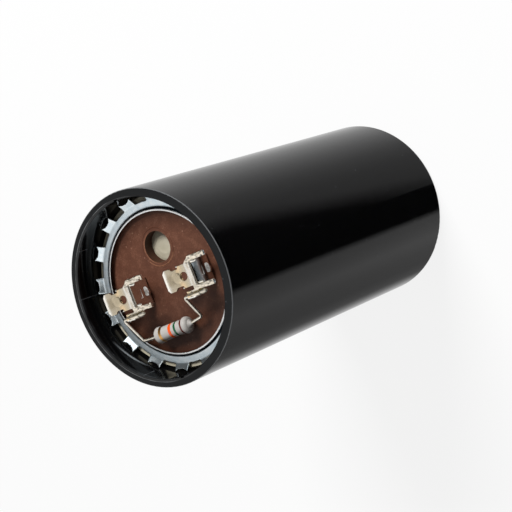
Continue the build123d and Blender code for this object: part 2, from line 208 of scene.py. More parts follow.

# %% [markdown]
# The rim was faced on a lathe after moulding, so its flat face is matt. On the left the matt face
# is drawn ending short of the bore, and the pale line where it ends is a painted highlight on the
# rounded inner edge. The rim's outer corner carries a painted highlight all round, and so does the
# top of the bore on the left. Noise breaks the thin lines up.

# %% Rim face and painted highlights on its edges
left_face_end = 24.66
flat_top = add(tree, "ShaderNodeMath", {"operation": "GREATER_THAN", 1: 0.9}, {0: turned_up.outputs["Z"]})
face_starts = add(tree, "ShaderNodeMapRange", {1: -4.0, 2: 10.0, 3: left_face_end, 4: bore_radius}, {
    0: xyz.outputs["X"]})
past_start = add(tree, "ShaderNodeMath", {"operation": "SUBTRACT"}, {
    0: radius.outputs["Value"], 1: face_starts})
faced = add(tree, "ShaderNodeMapRange", {1: 0.0, 2: 0.05}, {0: past_start})
inner_edge_highlight = add(tree, "ShaderNodeMath", {"operation": "COMPARE", 1: 0.0, 2: 0.07}, {0: past_start})
line_noise = add(tree, "ShaderNodeTexNoise", {"Scale": 1 / 5, "Detail": 4.0}, {"Vector": place})
line_kept = add(tree, "ShaderNodeMapRange", {1: 0.4, 2: 0.6, 3: 0.1, 4: 0.7}, {0: line_noise})
outermost = add(tree, "ShaderNodeMath", {"operation": "GREATER_THAN", 1: 26.0}, {0: radius.outputs["Value"]})
tilted = add(tree, "ShaderNodeMath", {"operation": "GREATER_THAN", 1: 0.25}, {0: turned_up.outputs["Z"]})
under_face = add(tree, "ShaderNodeMapRange", {1: rim_height - 1.0, 2: rim_height - 0.6}, {
    0: xyz.outputs["Z"]})
print("cut's edge off the bore in mm:", round(left_face_end - bore_radius, 2))

# %% [markdown]
# Some of the ring's teeth scratched thin bright lines down the bore as the ring was pushed home.
# Each is a narrow range of angle that ends at its own height. A short pale arc that climbs round
# the bore is a painted reflection of a bright tooth in the glossy wall.

# %% Scratches, and a painted reflection in the bore
scratches = []
for scratch_degrees, lowest in ((171.0, 102.0), (139.0, 105.4), (-120.8, 104.2)):
    on_line = add(tree, "ShaderNodeMath", {
        "operation": "COMPARE", 1: math.radians(scratch_degrees), 2: math.radians(0.28)}, {0: angle})
    above_end = add(tree, "ShaderNodeMath", {"operation": "GREATER_THAN", 1: lowest}, {0: xyz.outputs["Z"]})
    scratches.append(add(tree, "ShaderNodeMath", {"operation": "MULTIPLY"}, {0: on_line, 1: above_end}))
any_scratch = scratches[0]
for scratch in scratches[1:]:
    any_scratch = add(tree, "ShaderNodeMath", {"operation": "MAXIMUM"}, {0: any_scratch, 1: scratch})
broken = add(tree, "ShaderNodeTexNoise", {"Scale": 1 / 1.5, "Detail": 2.0}, {"Vector": place})
scratch_kept = add(tree, "ShaderNodeMapRange", {1: 0.35, 2: 0.5, 3: 0.3, 4: 1.0}, {0: broken})

# Painted reflection: a pale arc that climbs round the bore, where a bright tooth shows in the gloss.
reflection_rise = add(tree, "ShaderNodeMath", {"operation": "MULTIPLY_ADD", 1: -3.4, 2: 95.3}, {0: angle})
above_reflection = add(tree, "ShaderNodeMath", {"operation": "SUBTRACT"}, {0: xyz.outputs["Z"], 1: reflection_rise})
off_reflection = add(tree, "ShaderNodeMath", {"operation": "ABSOLUTE"}, {0: above_reflection})
on_painted_reflection = add(tree, "ShaderNodeMapRange", {1: 0.5, 2: 0.1}, {0: off_reflection})
past_middle = add(tree, "ShaderNodeMath", {"operation": "ADD", 1: math.radians(142)}, {0: angle})
from_middle = add(tree, "ShaderNodeMath", {"operation": "ABSOLUTE"}, {0: past_middle})
reflection_ends = add(tree, "ShaderNodeMapRange", {1: 0.26, 2: 0.06}, {0: from_middle})
print("scratches:", len(scratches))

# %% [markdown]
# A mark shows only where all of its masks agree, so they are multiplied. The marks then lie over
# one another like coats of paint: each is mixed over what is there. Loose dust is the last but
# one, as small grains of uneven size.

# %% Marks, coat by coat
dust = add(tree, "ShaderNodeTexVoronoi", {"Scale": 1 / 1.4}, {"Vector": place})
grain_size = add(tree, "ShaderNodeMapRange", {1: 0.6, 2: 1.0, 3: 0.0, 4: 0.16}, {0: dust.outputs["Color"]})
grain = add(tree, "ShaderNodeMath", {"operation": "LESS_THAN"}, {0: dust.outputs["Distance"], 1: grain_size})
rim_face = near_rim
for mask in (flat_top, faced):
    rim_face = add(tree, "ShaderNodeMath", {"operation": "MULTIPLY"}, {0: rim_face, 1: mask})
coats = add(tree, "ShaderNodeMix", {"data_type": "RGBA", 6: "#0A0A0B", 7: "#131415"}, {0: rim_face})
# Painted highlights: #5C5E60 on the outer corner, #7C7E80 at the face's left end and #343638 at the top of
# the bore on the left. #8E9498 is a painted reflection. Dust and scratches are real.
marks = (
    ("#5C5E60", (outermost, near_rim, tilted)),
    ("#7C7E80", (inner_edge_highlight, left_side, line_kept)),
    ("#8E9498", (on_painted_reflection, reflection_ends, in_bore)),
    ("#343638", (under_face, in_bore, left_side, line_kept)),
    ("#4A4C4F", (grain,)),
    ("#5A5D60", (any_scratch, in_bore, scratch_kept)))
for hex_colour, masks in marks:
    shown = masks[0]
    for mask in masks[1:]:
        shown = add(tree, "ShaderNodeMath", {"operation": "MULTIPLY"}, {0: shown, 1: mask})
    coats = add(tree, "ShaderNodeMix", {"data_type": "RGBA", 7: hex_colour}, {0: shown, 6: coats.outputs[2]})
print("kinds of mark:", len(marks))

# %% [markdown]
# The gloss wanders a little, as on any moulding. The lower bore is wiped with wax and reflects
# more than its clean upper end, and the faced rim hardly reflects at all.

# %% Gloss of the phenolic
cloud = add(tree, "ShaderNodeTexNoise", {"Scale": 1 / 9, "Detail": 4.0}, {"Vector": place})
gloss = add(tree, "ShaderNodeMapRange", {1: 0.3, 2: 0.7, 3: 0.04, 4: 0.08}, {0: cloud})
matt = add(tree, "ShaderNodeMix", {"data_type": "FLOAT", 3: 0.5}, {0: rim_face, 2: gloss})
bore_gloss = add(tree, "ShaderNodeMapRange", {1: 101.0, 2: 104.5, 3: 0.4, 4: 0.05}, {0: xyz.outputs["Z"]})
inside_or_out = add(tree, "ShaderNodeMix", {"data_type": "FLOAT", 2: 0.5}, {0: in_bore, 3: bore_gloss})
dull = add(tree, "ShaderNodeMix", {"data_type": "FLOAT", 3: 0.2}, {0: rim_face, 2: inside_or_out})
ripple = add(tree, "ShaderNodeTexNoise", {"Scale": 1 / 2.5, "Detail": 2.0}, {"Vector": place})
ripple_bump = add(tree, "ShaderNodeBump", {"Strength": 0.04, "Distance": 0.2 * MM}, {"Height": ripple})
set_and_link(tree, shader, {"IOR": 1.5}, {
    "Base Color": coats.outputs[2], "Roughness": matt, "Specular IOR Level": dull, "Normal": ripple_bump})
dress("case", phenolic)
print("phenolic nodes:", len(tree.nodes))

# %% [markdown]
# **Retaining ring: spring steel, barrel-plated with bright zinc.** Clear passivation gives it a
# cold bluish white. Going outwards it has a curled lip, a dished flat and the teeth. The teeth are
# the brightest, the flat is duller from rubbing in the barrel, and the right side is duller still.
# On the left, the lip's inner wall is painted dark as shade. The narrow curl behind it, where little
# light gets in, is painted dark as shade all round. The lip's sheared crest is painted near white,
# a painted highlight in a thin line.

# %% Bright zinc plate: its gloss
zinc, tree, shader, place = start_finish("zinc_plated_spring_steel")
crest_radius, curl_end, flat_end = 19.4, 20.1, 22.1
wander = add(tree, "ShaderNodeTexNoise", {"Scale": 1 / 1.6, "Detail": 5.0, "Roughness": 0.6}, {
    "Vector": place})
level = add(tree, "ShaderNodeVectorMath", {"operation": "MULTIPLY", 1: (1, 1, 0)}, {0: place})
radius = add(tree, "ShaderNodeVectorMath", {"operation": "LENGTH"}, {0: level})
ring_axes = add(tree, "ShaderNodeSeparateXYZ", {}, {0: place})
ring_left_side = add(tree, "ShaderNodeMapRange", {1: 12.0, 2: 6.0}, {0: ring_axes.outputs["X"]})
on_flat = add(tree, "ShaderNodeMapRange", {1: flat_end, 2: flat_end - 0.3}, {0: radius.outputs["Value"]})
gloss = add(tree, "ShaderNodeMapRange", {1: 0.3, 2: 0.7, 3: 0.15, 4: 0.21}, {0: wander})
flat_gloss = add(tree, "ShaderNodeMix", {"data_type": "FLOAT", 3: 0.36}, {0: on_flat, 2: gloss})
side_gloss = add(tree, "ShaderNodeMix", {"data_type": "FLOAT", 2: 0.5}, {0: ring_left_side, 3: flat_gloss})
grain = add(tree, "ShaderNodeTexNoise", {"Scale": 1 / 0.5, "Detail": 2.0}, {"Vector": place})
grain_bump = add(tree, "ShaderNodeBump", {"Strength": 0.02, "Distance": 0.05 * MM}, {"Height": grain})
print("ring zones in mm:", crest_radius, curl_end, flat_end)

# %% Bright zinc plate: its colours
tint = add(tree, "ShaderNodeValToRGB", {"stops": [
    (0.32, "#CDDCE4"), (0.5, "#DDE8ED"), (0.68, "#E9F0F2")]}, {0: wander})
facing = add(tree, "ShaderNodeNewGeometry")
outward = add(tree, "ShaderNodeVectorMath", {"operation": "NORMALIZE"}, {0: level})
away = add(tree, "ShaderNodeVectorMath", {"operation": "DOT_PRODUCT"}, {
    0: facing.outputs["Normal"], 1: outward})
faces_in = add(tree, "ShaderNodeMapRange", {1: -0.7, 2: -0.86}, {0: away.outputs["Value"]})
inner_wall = add(tree, "ShaderNodeMath", {"operation": "MULTIPLY"}, {0: faces_in, 1: ring_left_side})
crest = add(tree, "ShaderNodeMath", {"operation": "LESS_THAN", 1: crest_radius + 0.05}, {
    0: radius.outputs["Value"]})
past_crest = add(tree, "ShaderNodeMapRange", {1: crest_radius, 2: crest_radius + 0.1}, {
    0: radius.outputs["Value"]})
before_flat = add(tree, "ShaderNodeMapRange", {1: curl_end, 2: curl_end - 0.2}, {0: radius.outputs["Value"]})
in_curl = add(tree, "ShaderNodeMath", {"operation": "MULTIPLY"}, {0: past_crest, 1: before_flat})
colour = tint.outputs["Color"]
# Painted shade in the curl and on the left inner wall, and a painted highlight on the crest.
for mask, hex_colour in ((in_curl, "#303840"), (crest, "#FBFCFC"), (inner_wall, "#2C2A29")):
    coat = add(tree, "ShaderNodeMix", {"data_type": "RGBA", 7: hex_colour}, {0: mask, 6: colour})
    colour = coat.outputs[2]
set_and_link(tree, shader, {"Metallic": 1.0}, {
    "Base Color": colour, "Roughness": side_gloss, "Normal": grain_bump})
for name in ("retaining_ring", "rivet_washer_left", "rivet_washer_right"):
    dress(name, zinc)
print("zinc nodes:", len(tree.nodes))

# %% [markdown]
# **Sealing cover and vent disc: natural nylon, injection-moulded.** It is cream, satin and
# slightly cloudy. It shows in the gaps between the ring's teeth and at the bottom of the vent.

# %% Natural nylon
nylon, tree, shader, place = start_finish("natural_nylon_moulded")
cloud = add(tree, "ShaderNodeTexNoise", {"Scale": 1 / 3.0, "Detail": 4.0}, {"Vector": place})
tint = add(tree, "ShaderNodeValToRGB", {"stops": [(0.35, "#AFA893"), (0.65, "#BDB6A2")]}, {0: cloud})
skin = add(tree, "ShaderNodeTexNoise", {"Scale": 1 / 0.35, "Detail": 2.0}, {"Vector": place})
skin_bump = add(tree, "ShaderNodeBump", {"Strength": 0.15, "Distance": 0.05 * MM}, {"Height": skin})
set_and_link(tree, shader, {"Roughness": 0.55, "IOR": 1.53}, {"Base Color": tint, "Normal": skin_bump})
dress("sealing_cover", nylon)
dress("vent_diaphragm", nylon)
print("nylon nodes:", len(tree.nodes))

# %% [markdown]
# ** Terminal board: paper phenolic laminate, punched from sheet.** Resin-soaked paper is a warm
# brown with a fine mottle of fibres, and its pressed face is satin. It is painted lighter towards
# the lamp's side and darker towards the resistor, as painted light and shade, and pale specks of
# filler show in it.

# %% Paper phenolic laminate: the sheet
laminate, tree, shader, place = start_finish("paper_phenolic_laminate")
fibres = add(tree, "ShaderNodeTexNoise", {"Scale": 1 / 0.28, "Detail": 6.0, "Roughness": 0.7}, {
    "Vector": place})
patches = add(tree, "ShaderNodeTexNoise", {"Scale": 1 / 2.2, "Detail": 4.0}, {"Vector": place})
both = add(tree, "ShaderNodeMath", {"operation": "MULTIPLY_ADD", 1: 0.6}, {0: patches, 2: fibres})
tint = add(tree, "ShaderNodeValToRGB", {"stops": [
    (0.52, "#4E3024"), (0.8, "#5A382A"), (1.05, "#6E4A3A")]}, {0: both})
specks = add(tree, "ShaderNodeTexVoronoi", {"Scale": 1 / 0.9}, {"Vector": place})
speck_size = add(tree, "ShaderNodeMapRange", {1: 0.5, 2: 1.0, 3: 0.0, 4: 0.3}, {0: specks.outputs["Color"]})
speck = add(tree, "ShaderNodeMath", {"operation": "LESS_THAN"}, {
    0: specks.outputs["Distance"], 1: speck_size})
faint = add(tree, "ShaderNodeMath", {"operation": "MULTIPLY", 1: 0.45}, {0: speck})
specked = add(tree, "ShaderNodeMix", {"data_type": "RGBA", 7: "#9A7460"}, {0: faint, 6: tint})
board_axes = add(tree, "ShaderNodeSeparateXYZ", {}, {0: place})
# Painted light and shade: lighter towards +Y, on the lamp's side, and darker towards the resistor.
painted_light_falloff = add(tree, "ShaderNodeMapRange", {1: -17.0, 2: 14.0, 3: 0.62, 4: 1.25}, {0: board_axes.outputs["Y"]})
toned = add(tree, "ShaderNodeVectorMath", {"operation": "MULTIPLY"}, {0: specked.outputs[2], 1: painted_light_falloff})
fibre_bump = add(tree, "ShaderNodeBump", {"Strength": 0.25, "Distance": 0.06 * MM}, {"Height": fibres})
print("laminate nodes so far:", len(tree.nodes))

# %% [markdown]
# Every upright face, the wall of the vent hole among them, is drawn a darker brown. The punch
# presses two rings into the face round the hole, and each shows as a pale arc, a painted highlight
# on one side of the ring. Each is a narrow range of the distance from the hole's middle, of which
# only an arc shows, broken up by the fibres.

# %% Paper phenolic laminate: marks of the punch, with painted highlights
facing = add(tree, "ShaderNodeNewGeometry")
turned = add(tree, "ShaderNodeSeparateXYZ", {}, {0: facing.outputs["Normal"]})
upright = add(tree, "ShaderNodeMath", {"operation": "LESS_THAN", 1: 0.4}, {0: turned.outputs["Z"]})
from_vent = add(tree, "ShaderNodeVectorMath", {"operation": "SUBTRACT", 1: (0, vent_offset, board_height)}, {
    0: place})
vent_reach = add(tree, "ShaderNodeVectorMath", {"operation": "LENGTH"}, {0: from_vent})
vent_axes = add(tree, "ShaderNodeSeparateXYZ", {}, {0: from_vent})
pressed_ring_highlights = []
for ring_radius, half_width, axis, none_shows, all_shows in (
        (5.15, 0.17, "Y", -2.4, -3.4), (4.42, 0.09, "X", -1.0, -2.5)):
    on_ring = add(tree, "ShaderNodeMath", {"operation": "COMPARE", 1: ring_radius, 2: half_width}, {
        0: vent_reach.outputs["Value"]})
    arc = add(tree, "ShaderNodeMapRange", {1: none_shows, 2: all_shows}, {0: vent_axes.outputs[axis]})
    pressed_ring_highlights.append(add(tree, "ShaderNodeMath", {"operation": "MULTIPLY"}, {0: on_ring, 1: arc}))
either_ring = add(tree, "ShaderNodeMath", {"operation": "MAXIMUM"}, {
    0: pressed_ring_highlights[0], 1: pressed_ring_highlights[1]})
broken = add(tree, "ShaderNodeMapRange", {1: 0.4, 2: 0.6, 3: 0.15, 4: 0.75}, {0: fibres})
pressed = add(tree, "ShaderNodeMath", {"operation": "MULTIPLY"}, {0: either_ring, 1: broken})
# Painted highlight: the pale arcs of the pressed rings.
ridge_highlighted = add(tree, "ShaderNodeMix", {"data_type": "RGBA", 7: "#A87658"}, {0: pressed, 6: toned})
# Upright faces are a darker brown.
cut_wall = add(tree, "ShaderNodeMix", {"data_type": "RGBA", 7: "#472A1C"}, {0: upright, 6: ridge_highlighted.outputs[2]})
set_and_link(tree, shader, {"Roughness": 0.55, "Specular IOR Level": 0.3}, {
    "Base Color": cut_wall.outputs[2], "Normal": fibre_bump})
dress("terminal_board", laminate)
print("laminate nodes:", len(tree.nodes))

# %% [markdown]
# **Terminals: brass strip, stamped, folded and tin-plated.** Rolled strip keeps a mirror on the
# smooth leaning web, while the coined blade is satin with a warm cast where brass shows through.
# The dipped arms are the palest. Both tabs share one finish, so a point is first placed on its own
# tab: how far along the blade from its fold, and how far from its middle line.

# %% Tin-plated brass: where a point lies
tinned, tree, shader, place = start_finish("tin_plated_brass")
facing = add(tree, "ShaderNodeNewGeometry")
turned = add(tree, "ShaderNodeSeparateXYZ", {}, {0: facing.outputs["Normal"]})
faces_out = add(tree, "ShaderNodeMath", {"operation": "GREATER_THAN", 1: 0.85}, {0: turned.outputs["X"]})
xyz = add(tree, "ShaderNodeSeparateXYZ", {}, {0: place})
which_tab = add(tree, "ShaderNodeMath", {"operation": "SIGN"}, {0: xyz.outputs["X"]})
ahead = add(tree, "ShaderNodeMath", {"operation": "MULTIPLY_ADD", 1: -tab_reach}, {
    0: which_tab, 2: xyz.outputs["X"]})
along = add(tree, "ShaderNodeMath", {"operation": "SUBTRACT", 0: blade_root[0]}, {1: ahead})
sideways = add(tree, "ShaderNodeMath", {"operation": "SUBTRACT", 1: tab_row_y}, {0: xyz.outputs["Y"]})
off_middle = add(tree, "ShaderNodeMath", {"operation": "ABSOLUTE"}, {0: sideways})
past_fold = add(tree, "ShaderNodeMath", {"operation": "LESS_THAN", 1: 0.5}, {0: along})
web_face = add(tree, "ShaderNodeMath", {"operation": "MULTIPLY"}, {0: faces_out, 1: past_fold})
before_shoulder = add(tree, "ShaderNodeMath", {"operation": "LESS_THAN", 1: 2.4}, {0: along})
past_blade = add(tree, "ShaderNodeMapRange", {1: 2.9, 2: 3.2}, {0: off_middle})
on_arm = add(tree, "ShaderNodeMath", {"operation": "MULTIPLY"}, {0: before_shoulder, 1: past_blade})
print("tinned brass nodes so far:", len(tree.nodes))

# %% [markdown]
# Two ramps run along the blade from its fold to its bevelled tip, one for its middle and one for
# its sides, because the tin wore off more beside the notches. Noise makes the borders wander.

# %% Tin-plated brass: its colours, with painted highlights and shade
wander = add(tree, "ShaderNodeTexNoise", {"Scale": 1 / 0.9, "Detail": 4.0}, {"Vector": place})
uneven = add(tree, "ShaderNodeMath", {"operation": "MULTIPLY_ADD", 1: 0.5, 2: -0.25}, {0: wander})
wavy = add(tree, "ShaderNodeMath", {"operation": "ADD"}, {0: along, 1: uneven})
blade_share = add(tree, "ShaderNodeMapRange", {1: 0.0, 2: 10.0}, {0: wavy})
# Painted highlights and shade: the near-white stops at the fold and the tip, and the bands between.
blade_middle = add(tree, "ShaderNodeValToRGB", {"stops": [
    (0.02, "#A59C8C"), (0.04, "#FFFAF0"), (0.1, "#FFF6E8"), (0.16, "#FFFBF2"),
    (0.2, "#D8CCB8"), (0.4, "#D2C3A6"), (0.62, "#CDBEA3"), (0.7, "#B5A78E"),
    (0.8, "#BDAF96"), (0.84, "#E2DAC8"), (0.87, "#FFFAF0")]}, {0: blade_share})
blade_side = add(tree, "ShaderNodeValToRGB", {"stops": [
    (0.02, "#B8AE9C"), (0.04, "#FFFAF0"), (0.1, "#E6DAC6"), (0.16, "#FFFBF2"),
    (0.2, "#DBD0BC"), (0.3, "#DFCFB0"), (0.4, "#FFE2B8"), (0.46, "#F2D6AC"),
    (0.52, "#CABBA0"), (0.8, "#D2C6B0"), (0.86, "#FFFAF0")]}, {0: blade_share})
towards_side = add(tree, "ShaderNodeMapRange", {1: 0.9, 2: 1.8}, {0: off_middle})
blade_colour = add(tree, "ShaderNodeMix", {"data_type": "RGBA"}, {
    0: towards_side, 6: blade_middle, 7: blade_side})
arm_colour = add(tree, "ShaderNodeMix", {"data_type": "RGBA", 7: "#F8EEDC"}, {
    0: on_arm, 6: blade_colour.outputs[2]})
colour = add(tree, "ShaderNodeMix", {"data_type": "RGBA", 7: "#F2F2F2"}, {
    0: web_face, 6: arm_colour.outputs[2]})
print("tinned brass nodes so far:", len(tree.nodes))

# %% Tin-plated brass: its gloss
satin = add(tree, "ShaderNodeMapRange", {1: 0.3, 2: 0.7, 3: 0.2, 4: 0.32}, {0: wander})
arm_gloss = add(tree, "ShaderNodeMix", {"data_type": "FLOAT", 3: 0.4}, {0: on_arm, 2: satin})
gloss = add(tree, "ShaderNodeMix", {"data_type": "FLOAT", 3: 0.14}, {0: web_face, 2: arm_gloss})
grain = add(tree, "ShaderNodeTexNoise", {"Scale": 1 / 1.1, "Detail": 1.0}, {"Vector": place})
waves = add(tree, "ShaderNodeMapRange", {3: 0.12, 4: 0.02}, {0: web_face})
grain_bump = add(tree, "ShaderNodeBump", {"Distance": 0.08 * MM}, {"Height": grain, "Strength": waves})
set_and_link(tree, shader, {"Metallic": 1.0}, {
    "Base Color": colour.outputs[2], "Roughness": gloss, "Normal": grain_bump})
for side in ("left", "right"):
    dress(f"terminal_{side}", tinned)
    dress(f"rivet_{side}", tinned)
print("tinned brass nodes:", len(tree.nodes))

# %% [markdown]
# **Leads and solder: tinned copper wire and tin-lead solder.** The wire is smooth and bright.
# Solder freezes with a lumpy skin, and the flux that ran out of it dries to an olive-brown glaze.

# %% Tinned wire
wire, tree, shader, place = start_finish("tinned_copper_wire")
wander = add(tree, "ShaderNodeTexNoise", {"Scale": 1 / 0.9, "Detail": 4.0}, {"Vector": place})
tint = add(tree, "ShaderNodeValToRGB", {"stops": [(0.35, "#DDD4C4"), (0.65, "#F6F0E4")]}, {0: wander})
wire_bump = add(tree, "ShaderNodeBump", {"Strength": 0.2, "Distance": 0.05 * MM}, {"Height": wander})
set_and_link(tree, shader, {"Metallic": 1.0, "Roughness": 0.18}, {"Base Color": tint, "Normal": wire_bump})
dress("resistor_lead_left", wire)
dress("resistor_lead_right", wire)
print("wire nodes:", len(tree.nodes))

# %% Solder with a stain of flux
solder, tree, shader, place = start_finish("tin_lead_solder")
lumps = add(tree, "ShaderNodeTexNoise", {"Scale": 1 / 0.8, "Detail": 3.0}, {"Vector": place})
stained = add(tree, "ShaderNodeMapRange", {1: 0.6, 2: 0.68}, {0: lumps})
tint = add(tree, "ShaderNodeMix", {"data_type": "RGBA", 6: "#DAD3C4", 7: "#5A4D2C"}, {0: stained})
bare = add(tree, "ShaderNodeMath", {"operation": "SUBTRACT", 0: 1.0}, {1: stained})
lump_bump = add(tree, "ShaderNodeBump", {"Strength": 0.5, "Distance": 0.2 * MM}, {"Height": lumps})
set_and_link(tree, shader, {"Roughness": 0.3}, {
    "Base Color": tint.outputs[2], "Metallic": bare, "Normal": lump_bump})
dress("solder_left", solder)
dress("solder_right", solder)
print("solder nodes:", len(tree.nodes))

# %% Bright solder and dried flux, for the small details
bare_solder, tree, shader, place = start_finish("bright_solder")
lumps = add(tree, "ShaderNodeTexNoise", {"Scale": 1 / 0.6, "Detail": 3.0}, {"Vector": place})
lump_bump = add(tree, "ShaderNodeBump", {"Strength": 0.3, "Distance": 0.1 * MM}, {"Height": lumps})
set_and_link(tree, shader, {"Base Color": "#FAF5EA", "Metallic": 1.0, "Roughness": 0.2}, {
    "Normal": lump_bump})

flux, tree, shader, place = start_finish("dried_flux")
thick = add(tree, "ShaderNodeTexNoise", {"Scale": 1 / 0.5, "Detail": 2.0}, {"Vector": place})
tint = add(tree, "ShaderNodeValToRGB", {"stops": [(0.4, "#2B2410"), (0.6, "#6B5A24")]}, {0: thick})
set_and_link(tree, shader, {"Roughness": 0.12, "IOR": 1.53}, {"Base Color": tint})
print("finishes for the details:", bare_solder.name, flux.name)

# %% [markdown]
# ** Struck marks: torn tin.** Where a punch struck the web, the tin is torn. Its marks are painted
# a matt near white, a painted highlight for the bright sky that their faces reflect. This finish
# isn't a metal, so it reflects like a stone, not like a mirror.

# %% Painted highlight where the tin was struck
struck_highlight, tree, shader, place = start_finish("struck_tin_painted_highlight")
mottle = add(tree, "ShaderNodeTexNoise", {"Scale": 1 / 0.4, "Detail": 4.0}, {"Vector": place})
tint = add(tree, "ShaderNodeValToRGB", {"stops": [(0.38, "#D9D5CC"), (0.56, "#FFFFFC")]}, {0: mottle})
set_and_link(tree, shader, {"Roughness": 0.4}, {"Base Color": tint})
print("oxide nodes:", len(tree.nodes))

# %% [markdown]
# **Bleed resistor: grey lacquer over a film body.** The lacquer is dipped, so it is satin and a
# little wavy, and it swells over the end caps. The painted rings give its value: gold, orange,
# green and brown. The rings follow the resistor's own axis, so the place is first turned to it.

# %% Resistor lacquer with its rings
lacquer, tree, shader, place = start_finish("grey_resistor_lacquer")
own = add(tree, "ShaderNodeMapping", {
    "vector_type": "TEXTURE", "Location": resistor_middle,
    "Rotation": (0, 0, math.radians(resistor_turn_degrees))}, {"Vector": place})
along = add(tree, "ShaderNodeSeparateXYZ", {}, {0: own.outputs["Vector"]})
edge_noise = add(tree, "ShaderNodeTexNoise", {"Scale": 1 / 0.7, "Detail": 2.0}, {"Vector": place})
wobble = add(tree, "ShaderNodeMath", {"operation": "MULTIPLY_ADD", 1: 0.14}, {
    0: edge_noise, 2: along.outputs["X"]})
share = add(tree, "ShaderNodeMapRange", {1: -coat_length / 2, 2: coat_length / 2}, {0: wobble})
coat = "#B6B2AD"
rings = [(-3.4, "#D9A868", 0.8), (0.05, "#E8560E", 0.95), (1.87, "#0E5230", 0.75), (4.22, "#5A1E12", 0.75)]
stops = [(0.0, coat)]
for middle, colour, width in rings:
    stops.append(((middle - width / 2) / coat_length + 0.5, colour))
    stops.append(((middle + width / 2) / coat_length + 0.5, coat))
paint = add(tree, "ShaderNodeValToRGB", {"stops": stops, "interpolation": "CONSTANT"}, {0: share})
skin_bump = add(tree, "ShaderNodeBump", {"Strength": 0.25, "Distance": 0.08 * MM}, {"Height": edge_noise})
gold = add(tree, "ShaderNodeMath", {"operation": "COMPARE", 1: rings[0][0], 2: rings[0][2] / 2}, {0: wobble})
gold_gloss = add(tree, "ShaderNodeMapRange", {3: 0.2, 4: 0.42}, {0: gold})
set_and_link(tree, shader, {}, {
    "Metallic": gold, "Roughness": gold_gloss, "Base Color": paint, "Normal": skin_bump})
dress("resistor_body", lacquer)
print("resistor rings:", len(rings))

# %% [markdown]
# **Inside, out of sight:** bright foil tabs, a paper-wrapped roll and a fibre pad. They are
# dressed too, so that the part can be opened up or cut away later.

# %% Foil, wrapped roll and fibre pad
foil, tree, shader, place = start_finish("aluminium_foil")
crease = add(tree, "ShaderNodeTexNoise", {"Scale": 1 / 1.2, "Detail": 3.0}, {"Vector": place})
crease_bump = add(tree, "ShaderNodeBump", {"Strength": 0.3, "Distance": 0.1 * MM}, {"Height": crease})
set_and_link(tree, shader, {"Base Color": "#DADBDC", "Metallic": 1.0, "Roughness": 0.3}, {
    "Normal": crease_bump})
dress("lead_tab_left", foil)
dress("lead_tab_right", foil)

paper, tree, shader, place = start_finish("kraft_paper")
fibres = add(tree, "ShaderNodeTexNoise", {"Scale": 1 / 0.5, "Detail": 6.0}, {"Vector": place})
tint = add(tree, "ShaderNodeValToRGB", {"stops": [(0.35, "#A98F66"), (0.65, "#C2A97F")]}, {0: fibres})
set_and_link(tree, shader, {"Roughness": 0.85}, {"Base Color": tint})
dress("wound_element", paper)
dress("bottom_pad", paper)
print("finishes inside:", foil.name, paper.name)

# %% [markdown]
# ## Small details
# The solids have knife edges, and real stampings have none. The press rolls their edges over, and
# tumbling in the plating barrel rounds them further. That thin round is what catches the light.
# So a fine skin of small squares is drawn over the tabs and the spring ring, and eased until its edges turn.

# %% Skin over a solid
def skin_over(node_name, square_mm, easings, material):
    """Piece that stands for a CAD node: its closed form in small squares, with the edges eased."""
    solid = bmesh.new()
    solid.from_mesh(nodes[node_name].data)
    bmesh.ops.remove_doubles(solid, verts=solid.verts, dist=0.002 * MM)
    mesh = bpy.data.meshes.new(node_name + "_closed")
    solid.to_mesh(mesh)
    solid.free()
    draft = bpy.data.objects.new(node_name + "_draft", mesh)
    bpy.context.scene.collection.objects.link(draft)
    squares = draft.modifiers.new("squares", "REMESH")
    squares.mode = "VOXEL"
    squares.voxel_size = square_mm * MM
    squares.use_smooth_shade = True
    eased = draft.modifiers.new("eased", "SMOOTH")
    eased.factor = 0.5
    eased.iterations = easings
    skin = bpy.data.meshes.new_from_object(draft.evaluated_get(bpy.context.evaluated_depsgraph_get()))
    bpy.data.objects.remove(draft)
    return keep_piece(node_name + "_worked", skin, material, node_name)


def keep_piece(name, mesh, material, stands_for=None):
    """Shown piece of the object from a mesh in the shared frame."""
    piece = bpy.data.objects.new(name, mesh)
    bpy.context.scene.collection.objects.link(piece)
    mesh.materials.clear()
    mesh.materials.append(material)
    if stands_for:
        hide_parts(stands_for)
    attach(piece, "root")
    return piece


# %% [markdown]
# **Vent plug.** The thin disc that vents the case was pressed in from above, and its top lip
# spreads over the seat, so only a faint circle shows. It is turned here from half of its section.
# Rings of points, one for each step of the section, are joined into one closed skin.

# %% Skin through rings of points
def joined_rings(name, rings, smooth_sides=True, smooth_ends=False):
    """Mesh of one closed skin through rings of places in mm, with both ends capped."""
    shape = bmesh.new()
    rows = [[shape.verts.new(place * MM) for place in ring] for ring in rings]
    for here, there in zip(rows, rows[1:]):
        for step in range(len(here)):
            nearby = (step + 1) % len(here)
            shape.faces.new((here[step], here[nearby], there[nearby], there[step]))
    ends = [shape.faces.new(rows[0]), shape.faces.new(rows[-1])]
    bmesh.ops.recalc_face_normals(shape, faces=shape.faces)
    for face in shape.faces:
        face.smooth = smooth_ends if face in ends else smooth_sides
    mesh = bpy.data.meshes.new(name)
    shape.to_mesh(mesh)
    shape.free()
    return mesh


def turned_piece(name, material, section, middle, towards, stands_for=None):
    """Piece turned from (distance from the axis, place along it) in mm, about an axis from middle."""
    corners = 64
    turns = [2 * math.pi * step / corners for step in range(corners)]
    sideways = towards.orthogonal().normalized()
    upwards = towards.cross(sideways)
    rings = [[
        middle + towards * forward + (sideways * math.cos(turn) + upwards * math.sin(turn)) * reach
        for turn in turns] for reach, forward in section]
    return keep_piece(name, joined_rings(name, rings), material, stands_for)


